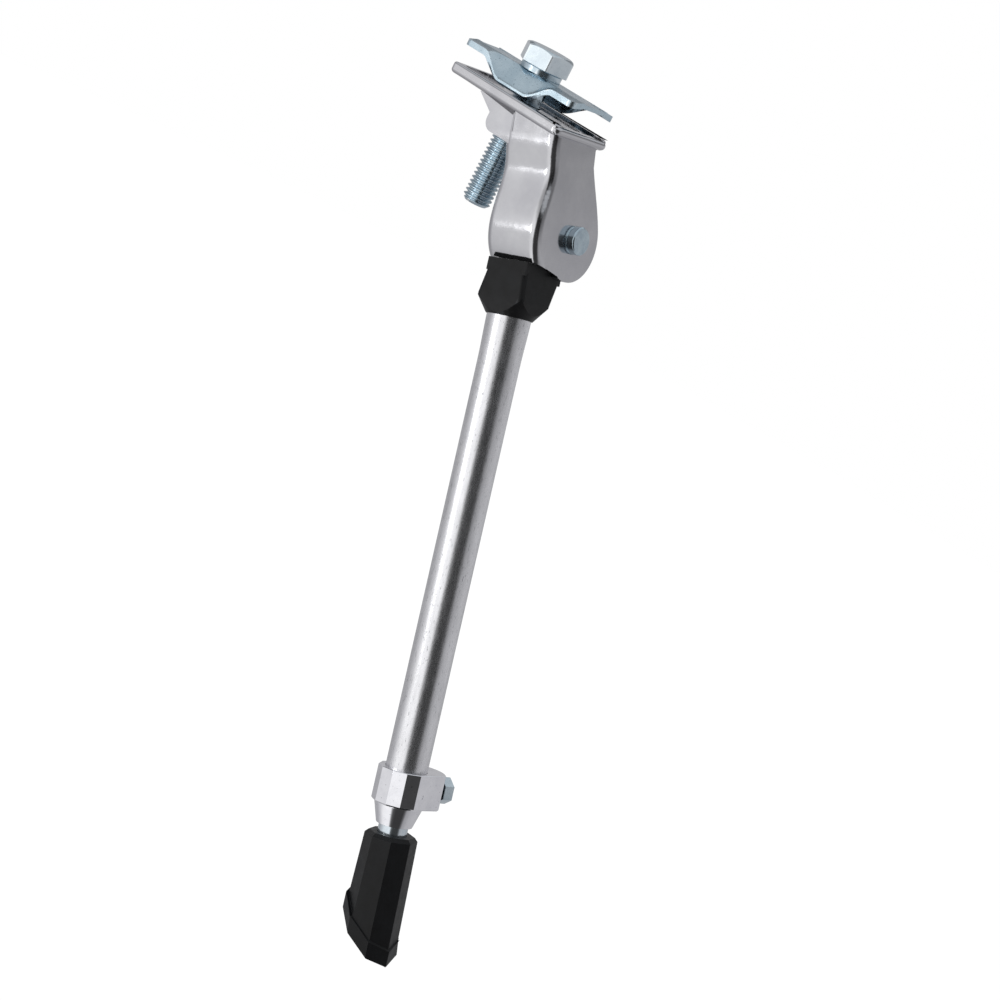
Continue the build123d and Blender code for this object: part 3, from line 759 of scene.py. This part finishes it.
@dataclass
class Clamp:
    """The top plate, its bolt, washer and nut."""

    bolt: ThreadedBolt = field(default_factory=ThreadedBolt)

    def build(self) -> None:
        """Makes the bolt and dresses the pressed and turned pieces."""
        self.bolt.build()
        softened("top_plate", ZINC_PLATE, Edge.TUMBLED)
        softened("lock_washer", ZINC_TURNED, Edge.CRISP)
        softened("clamp_nut", ZINC_TURNED, Edge.CRISP)


@dataclass
class Bracket:
    """The pressed bracket and its pivot pin. The crease is in degrees."""

    crease: float = 24.0

    def build(self) -> None:
        """Dresses the pressing and the rivet."""
        softened("bracket", SATIN_CHROME, Edge.ROLLED, crease=self.crease)
        softened("pivot_pin", ZINC_TURNED, Edge.CRISP)


@dataclass
class SwelledTube:
    """The drawn tube, which narrows evenly below the leg head.

    Sizes are in millimetres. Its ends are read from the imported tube.
    """

    radius: float = 7.1
    wall: float = 1.5
    swell: float = 0.35
    swell_length: float = 17.0
    bore_step: float = 2.0
    rim: float = 0.25
    steps: int = 8
    hole_radius: float = 2.6
    hole_below_collar: float = 6.0

    def build(self) -> None:
        """Turns the tube about the leg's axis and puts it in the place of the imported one."""
        first, last = WAYS.along_leg("leg_tube")
        length = (last - first) / MM
        outer = [(self.radius + self.swell - self.rim, 0.0), (self.radius + self.swell, self.rim)]
        for step in range(1, self.steps + 1):
            share = step / self.steps
            ease = share * share * (3 - 2 * share)
            outer.append((self.radius + self.swell * (1 - ease), self.rim + self.swell_length * share))
        outer += [(self.radius, length - self.rim), (self.radius - self.rim, length)]
        inside = self.radius - self.wall
        bore = [(inside, length), (inside, self.swell_length),
                (inside + self.swell, self.swell_length - self.bore_step), (inside + self.swell, 0.0)]
        blank = turned_piece("swelled_tube", outer + bore, WAYS.leg_axis(first), WAYS.down())
        hole = WAYS.leg_axis(WAYS.along_leg("collar")[0] + self.hole_below_collar * MM)
        mesh = drilled(blank, self.hole_radius, hole, WAYS.screw_out(), self.radius * 2, TURNED_CREASE)
        link_piece("swelled_tube", mesh, DRAWN_ALUMINIUM, "leg", "leg_tube")


@dataclass
class CastCollar:
    """The collar: a twelve-sided ring on the tube's end, a boss for its screw and a cone below.

    Sizes are in millimetres and angles in degrees, those round the collar from the boss. Its start and its
    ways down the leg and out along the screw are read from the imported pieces.
    """

    sides: int = 12
    corner_radius: float = 9.4
    corner_turn: float = 4.0
    height: float = 12.0
    top_edge: float = 0.2
    low_edge: float = 0.5
    bore: float = 7.2
    bore_depth: float = 11.2
    neck_top: float = 8.2
    neck_low: float = 6.15
    neck_step: float = 0.3
    neck_bore: float = 5.2
    boss_taper: float = 15.0
    boss_reach: float = 13.8
    boss_round: float = 10.594
    hole_radius: float = 2.6
    around: int = 360
    crease: float = 12.0
    bevel_crease: float = 20.0
    start: Vector = field(init=False)
    down: Vector = field(init=False)
    out: Vector = field(init=False)

    def build(self) -> None:
        """Makes the casting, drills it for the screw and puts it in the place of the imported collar."""
        first, last = WAYS.along_leg("collar")
        self.start = WAYS.leg_axis(first)
        self.down = WAYS.down()
        self.out = WAYS.screw_out()
        end = (last - first) / MM
        rows = [
            self._ring(self.bore, 0.0),
            self._outline(self.top_edge, 0.0),
            self._outline(0.0, self.top_edge),
            self._outline(0.0, self.height - self.low_edge),
            self._outline(self.low_edge, self.height),
            self._ring(self.neck_top, self.height),
            self._ring(self.neck_top, self.height + self.neck_step),
            self._ring(self.neck_low, end),
            self._ring(self.neck_bore, end),
            self._ring(self.neck_bore, self.bore_depth),
            self._ring(self.bore, self.bore_depth),
        ]
        blank = ringed("cast_collar", rows, self.crease, merged=True)
        hole = self.start + self.down * self.height / 2 * MM
        mesh = drilled(blank, self.hole_radius, hole, self.out, self.boss_reach * 2, self.crease)
        thing = link_piece("cast_collar", mesh, POLISHED_CHROME, "leg", "collar")
        break_edges(thing, Edge.CRISP, self.bevel_crease)

    def _row(self, reaches: list[float], level: float) -> list[Vector]:
        """Points at even turns round the axis.

        Args:
            reaches: Their distances from the axis.
            level: How far they lie below the collar's top.

        Returns:
            The points, in metres.
        """
        side = self.out.cross(self.down)
        centre = self.start + self.down * level * MM
        turns = [math.tau * step / self.around for step in range(self.around)]
        return [centre + (self.out * math.cos(turn) + side * math.sin(turn)) * reach * MM
                for turn, reach in zip(turns, reaches)]

    def _ring(self, radius: float, level: float) -> list[Vector]:
        """A round row."""
        return self._row([radius] * self.around, level)

    def _outline(self, inset: float, level: float) -> list[Vector]:
        """A row on the faceted outline with its boss, drawn in by an inset."""
        degrees = [360 * step / self.around for step in range(self.around)]
        return self._row([self._reach((angle + 180) % 360 - 180) - inset for angle in degrees], level)

    def _reach(self, angle: float) -> float:
        """The outline's distance from the axis.

        Args:
            angle: The bearing from the boss, in degrees from -180 to 180.

        Returns:
            The distance there.
        """
        flat = self.corner_radius * math.cos(math.pi / self.sides)
        facet = 360 / self.sides
        local = (angle - self.corner_turn) % facet - facet / 2
        ring = flat / math.cos(math.radians(local))
        flank_way = 90 - self.boss_taper
        if abs(angle) >= flank_way:
            return ring
        flank = flat / math.cos(math.radians(flank_way - abs(angle)))
        turn = math.radians(angle)
        centre = self.boss_reach - self.boss_round
        nose = centre * math.cos(turn) + math.sqrt(self.boss_round ** 2 - (centre * math.sin(turn)) ** 2)
        return max(ring, min(flank, nose))


@dataclass
class Leg:
    """The leg head, the tube, the collar with its screw, and the draw rod and spring inside."""

    tube: SwelledTube = field(default_factory=SwelledTube)
    collar: CastCollar = field(default_factory=CastCollar)

    def build(self) -> None:
        """Makes the tube, the collar and the spring, and dresses the other pieces."""
        softened("leg_head", BLACK_NYLON, Edge.TUMBLED)
        self.tube.build()
        self.collar.build()
        softened("collar_screw", ZINC_TURNED, Edge.CRISP)
        self._spring()
        for node in ("draw_rod", "spring_seat_upper", "spring_seat_lower"):
            dress(node, OILED_STEEL)
        dress("draw_nut", ZINC_TURNED)

    def _spring(self) -> None:
        """The coil spring, a copy of the imported one in its place."""
        coil = frame["nodes"]["leg_spring"].data.copy()
        thing = link_piece("coiled_spring", coil, OILED_STEEL, "leg", "leg_spring")
        first, last = WAYS.along_leg("leg_spring")
        WAYS.down()
        WAYS.leg_axis(first)
        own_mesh(thing)


@dataclass
class FootSlider:
    """The rod that slides in the tube, with its guide and the foot. The crease is in degrees."""

    foot_crease: float = 15.0

    def build(self) -> None:
        """Dresses the rod, its guide and the foot."""
        softened("foot_rod", BRIGHT_ROD, Edge.CRISP)
        softened("foot", BLACK_NYLON, Edge.CRISP, crease=self.foot_crease)
        dress("rod_guide", PALE_ACETAL)
        dress("guide_pin", OILED_STEEL)


@dataclass(frozen=True)
class Panel:
    """One shade of the light tent's wall, at a bearing in degrees to the right of the camera."""

    bearing: float
    shade: str


@dataclass(frozen=True)
class SoftBox:
    """A square lamp that faces the stand.

    Its way is told in parts of the camera's right, up and back, and its distance and side in metres.
    """

    name: str
    way: tuple[float, float, float]
    distance: float
    side: float
    watts: float
    mirrored: bool


@dataclass
class Studio:
    """The pale floor, the light tent with its dark slit for the camera, the lamps and the camera.

    Lengths are in metres where their name doesn't end in mm. Over the two heights of tent_fade, above the
    middle of the stand, the tent's light falls to its top's share.
    """

    lens_mm: float = 72.0
    sensor_mm: float = 36.0
    nearest_seen: float = 0.01
    furthest_seen: float = 50.0
    place_mm: tuple[float, float, float] = (396.246, -536.499, 66.430)
    right: tuple[float, float, float] = (0.6811, 0.5758, 0.4523)
    up: tuple[float, float, float] = (-0.5290, -0.0402, 0.8477)
    back: tuple[float, float, float] = (0.5063, -0.8166, 0.2772)
    floor_side: float = 8.0
    floor_gap_mm: float = 0.3
    floor_paint: str = "#E6E6E6"
    floor_glow: float = 1.08
    floor_glow_share: float = 0.88
    floor_sheen: float = 1.1
    tent_radius: float = 1.3
    tent_height: float = 1.1
    tent_sides: int = 96
    tent_strength: float = 1.25
    tent_top_share: float = 0.42
    tent_fade: tuple[float, float] = (0.25, 0.75)
    soft_shade: str = "#E8EAEE"
    soft_strength: float = 0.8
    roof_shade: str = "#D2D5D8"
    panels: tuple[Panel, ...] = (
        Panel(-180, "#AAAAAC"),
        Panel(-112, "#ADADAF"),
        Panel(-84, "#CFCFD1"),
        Panel(-62, "#F3F3F3"),
        Panel(-34, "#FFFFFF"),
        Panel(-15, "#FCFCFC"),
        Panel(-8, "#808080"),
        Panel(-2, "#505050"),
        Panel(9, "#3C3C3C"),
        Panel(43, "#3C3C3C"),
        Panel(50, "#606061"),
        Panel(58, "#9D9D9F"),
        Panel(78, "#AFAFB1"),
        Panel(110, "#B6B6B8"),
        Panel(180, "#AAAAAC"),
    )
    lamps: tuple[SoftBox, ...] = (
        SoftBox("top_box", way=(0.0, 1.0, 0.25), distance=1.1, side=0.7, watts=9.0, mirrored=False),
        SoftBox("side_box", way=(-0.9, 0.15, 0.5), distance=1.15, side=0.3, watts=1.5, mirrored=True),
    )
    centre: Vector = field(init=False)
    floor_level: float = field(init=False)

    def build(self) -> None:
        """Makes the camera, the floor, the tent, the world and the lamps."""
        low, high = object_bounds()
        self.centre = (low + high) / 2
        self.floor_level = low.z - WAYS.foot_travel() - self.floor_gap_mm * MM
        self._camera()
        self._floor()
        self._tent()
        self._world()
        self._lamps()

    def _camera(self) -> None:
        """The camera at the photograph's place, turned as it was held."""
        data = bpy.data.cameras.new("camera")
        data.lens = self.lens_mm
        data.sensor_width = self.sensor_mm
        data.clip_start = self.nearest_seen
        data.clip_end = self.furthest_seen
        thing = bpy.data.objects.new("camera", data)
        columns = Matrix((self.right, self.up, self.back)).transposed().to_4x4()
        thing.matrix_world = Matrix.Translation(Vector(self.place_mm) * MM) @ columns
        bpy.context.scene.collection.objects.link(thing)
        bpy.context.scene.camera = thing

    def _set_piece(self, name: str, corners: list[Vector], faces: list[tuple[int, ...]],
                   material: bpy.types.Material) -> None:
        """Adds a mesh of the set, which isn't part of the object.

        Args:
            name: Its name.
            corners: Its corners, in metres.
            faces: Its faces, as places in the list of corners.
            material: Its material.
        """
        mesh = bpy.data.meshes.new(name)
        mesh.from_pydata(corners, [], faces)
        mesh.materials.append(material)
        thing = bpy.data.objects.new(name, mesh)
        bpy.context.scene.collection.objects.link(thing)
        thing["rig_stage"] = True

    def _empty_material(self, name: str) -> bpy.types.Material:
        """A material with an empty node tree.

        Args:
            name: The material's name.

        Returns:
            The material.
        """
        made = bpy.data.materials.new(name)
        made.use_nodes = True
        made.node_tree.nodes.clear()
        return made

    def _shade_round(self, tree: bpy.types.NodeTree,
                     centre: Vector) -> tuple[bpy.types.NodeSocket, bpy.types.NodeSocket]:
        """The tent's shade by bearing round an upright axis.

        Args:
            tree: The material's node tree.
            centre: A point of the axis, in metres.

        Returns:
            The shade, and the height above the centre.
        """
        place = add_node(tree, "ShaderNodeNewGeometry").outputs["Position"]
        away = add_node(tree, "ShaderNodeVectorMath", {"operation": "SUBTRACT"}, {0: place, 1: centre})
        split = add_node(tree, "ShaderNodeSeparateXYZ", None, {0: away.outputs[0]})
        facing = math.atan2(self.back[1], self.back[0])
        bearing = add_node(tree, "ShaderNodeMath", {"operation": "ARCTAN2"}, {
            0: split.outputs[1], 1: split.outputs[0]})
        turned = add_node(tree, "ShaderNodeMath", {"operation": "SUBTRACT"}, {
            0: bearing.outputs[0], 1: facing})
        whole = add_node(tree, "ShaderNodeMath", {"operation": "WRAP"}, {
            0: turned.outputs[0], 1: math.pi, 2: -math.pi})
        along = add_node(tree, "ShaderNodeMapRange", None, {
            "Value": whole.outputs[0], "From Min": -math.pi, "From Max": math.pi})
        ramp = add_node(tree, "ShaderNodeValToRGB", None, {0: along.outputs[0]})
        stops = ramp.color_ramp.elements
        for panel, stop in zip((self.panels[0], self.panels[-1]), stops):
            stop.position = (panel.bearing + 180) / 360
            stop.color = linear(panel.shade)
        for panel in self.panels[1:-1]:
            stops.new((panel.bearing + 180) / 360).color = linear(panel.shade)
        return ramp.outputs[0], split.outputs[2]

    def _floor(self) -> None:
        """A pale floor under the foot's furthest reach.

        The eye sees it nearly white, with the stand's soft shadow, and metal sees the tent's shades in it.
        """
        half = self.floor_side / 2
        corners = [Vector((x * half, y * half, self.floor_level))
                   for x, y in ((-1, -1), (1, -1), (1, 1), (-1, 1))]
        made = self._empty_material("pale_studio_floor")
        tree = made.node_tree
        paths = add_node(tree, "ShaderNodeLightPath")
        share = add_node(tree, "ShaderNodeMath", {"operation": "MULTIPLY"}, {
            0: paths.outputs["Is Camera Ray"], 1: self.floor_glow_share})
        paint = add_node(tree, "ShaderNodeBsdfDiffuse", None, {"Color": linear(self.floor_paint)})
        glow = add_node(tree, "ShaderNodeEmission", None, {
            "Color": linear(WHITE), "Strength": self.floor_glow})
        both = add_node(tree, "ShaderNodeMixShader", None, {
            0: share.outputs[0], 1: paint.outputs[0], 2: glow.outputs[0]})
        shade = self._shade_round(tree, WAYS.leg_axis(WAYS.along_leg("collar")[1]))[0]
        sheen = add_node(tree, "ShaderNodeEmission", None, {"Color": shade, "Strength": self.floor_sheen})
        met = add_node(tree, "ShaderNodeMixShader", None, {
            0: paths.outputs["Is Glossy Ray"], 1: both.outputs[0], 2: sheen.outputs[0]})
        add_node(tree, "ShaderNodeOutputMaterial", None, {"Surface": met.outputs[0]})
        self._set_piece("floor", corners, [(0, 1, 2, 3)], made)

    def _tent(self) -> None:
        """The tent's wall: bright on the camera's left, dark at its slit, grey on the right and behind."""
        made = self._empty_material("light_tent")
        tree = made.node_tree
        shade, level = self._shade_round(tree, self.centre)
        height = add_node(tree, "ShaderNodeMapRange", {"interpolation_type": "SMOOTHSTEP"}, {
            "Value": level, "From Min": self.tent_fade[0], "From Max": self.tent_fade[1],
            "To Min": self.tent_strength, "To Max": self.tent_strength * self.tent_top_share})
        wall = add_node(tree, "ShaderNodeEmission", None, {"Color": shade, "Strength": height.outputs[0]})
        white = add_node(tree, "ShaderNodeEmission", None, {"Color": linear(WHITE), "Strength": 1.0})
        seen = add_node(tree, "ShaderNodeLightPath").outputs["Is Camera Ray"]
        both = add_node(tree, "ShaderNodeMixShader", None, {0: seen, 1: wall.outputs[0], 2: white.outputs[0]})
        add_node(tree, "ShaderNodeOutputMaterial", None, {"Surface": both.outputs[0]})
        corners = []
        for level in (self.floor_level, self.floor_level + self.tent_height):
            for side in range(self.tent_sides):
                angle = math.tau * side / self.tent_sides
                corners.append(Vector((
                    self.centre.x + self.tent_radius * math.cos(angle),
                    self.centre.y + self.tent_radius * math.sin(angle),
                    level,
                )))
        count = self.tent_sides
        faces = [(i, (i + 1) % count, (i + 1) % count + count, i + count) for i in range(count)]
        self._set_piece("tent_wall", corners, faces, made)

    def _world(self) -> None:
        """White above the tent for the eye, a pale grey roof for metal, and an even light for the rest."""
        world = bpy.data.worlds.new("studio")
        bpy.context.scene.world = world
        world.use_nodes = True
        tree = world.node_tree
        tree.nodes.clear()
        paths = add_node(tree, "ShaderNodeLightPath")
        direct = add_node(tree, "ShaderNodeMath", {"operation": "MAXIMUM"}, {
            0: paths.outputs["Is Camera Ray"], 1: paths.outputs["Is Transmission Ray"]})
        soft, roof, white = (
            add_node(tree, "ShaderNodeBackground", None, {"Color": linear(shade), "Strength": strength})
            for shade, strength in (
                (self.soft_shade, self.soft_strength),
                (self.roof_shade, 1.0),
                (WHITE, 1.0),
            )
        )
        metal = add_node(tree, "ShaderNodeMixShader", None, {
            0: paths.outputs["Is Glossy Ray"], 1: soft.outputs[0], 2: roof.outputs[0]})
        both = add_node(tree, "ShaderNodeMixShader", None, {
            0: direct.outputs[0], 1: metal.outputs[0], 2: white.outputs[0]})
        add_node(tree, "ShaderNodeOutputWorld", None, {"Surface": both.outputs[0]})

    def _lamps(self) -> None:
        """A soft box overhead, which metal doesn't mirror, and a small one low at the camera's left."""
        for lamp in self.lamps:
            data = bpy.data.lights.new(lamp.name, "AREA")
            data.shape = "SQUARE"
            data.size = lamp.side
            data.energy = lamp.watts
            thing = bpy.data.objects.new(lamp.name, data)
            parts = zip((self.right, self.up, self.back), lamp.way)
            way = sum((Vector(direction) * part for direction, part in parts), Vector())
            thing.location = self.centre + way.normalized() * lamp.distance
            thing.rotation_euler = way.to_track_quat("Z", "Y").to_euler()
            thing.visible_glossy = lamp.mirrored
            bpy.context.scene.collection.objects.link(thing)


def main() -> None:
    """Builds the stand from the clamp down, then the studio round it."""
    logging.basicConfig(level=logging.INFO, format="%(name)s: %(message)s")
    bpy.context.scene.view_settings.view_transform = "Standard"
    for part in (Clamp(), Bracket(), Leg(), FootSlider(), Studio()):
        part.build()
    bpy.context.view_layer.update()


if __name__ == "__main__":
    main()
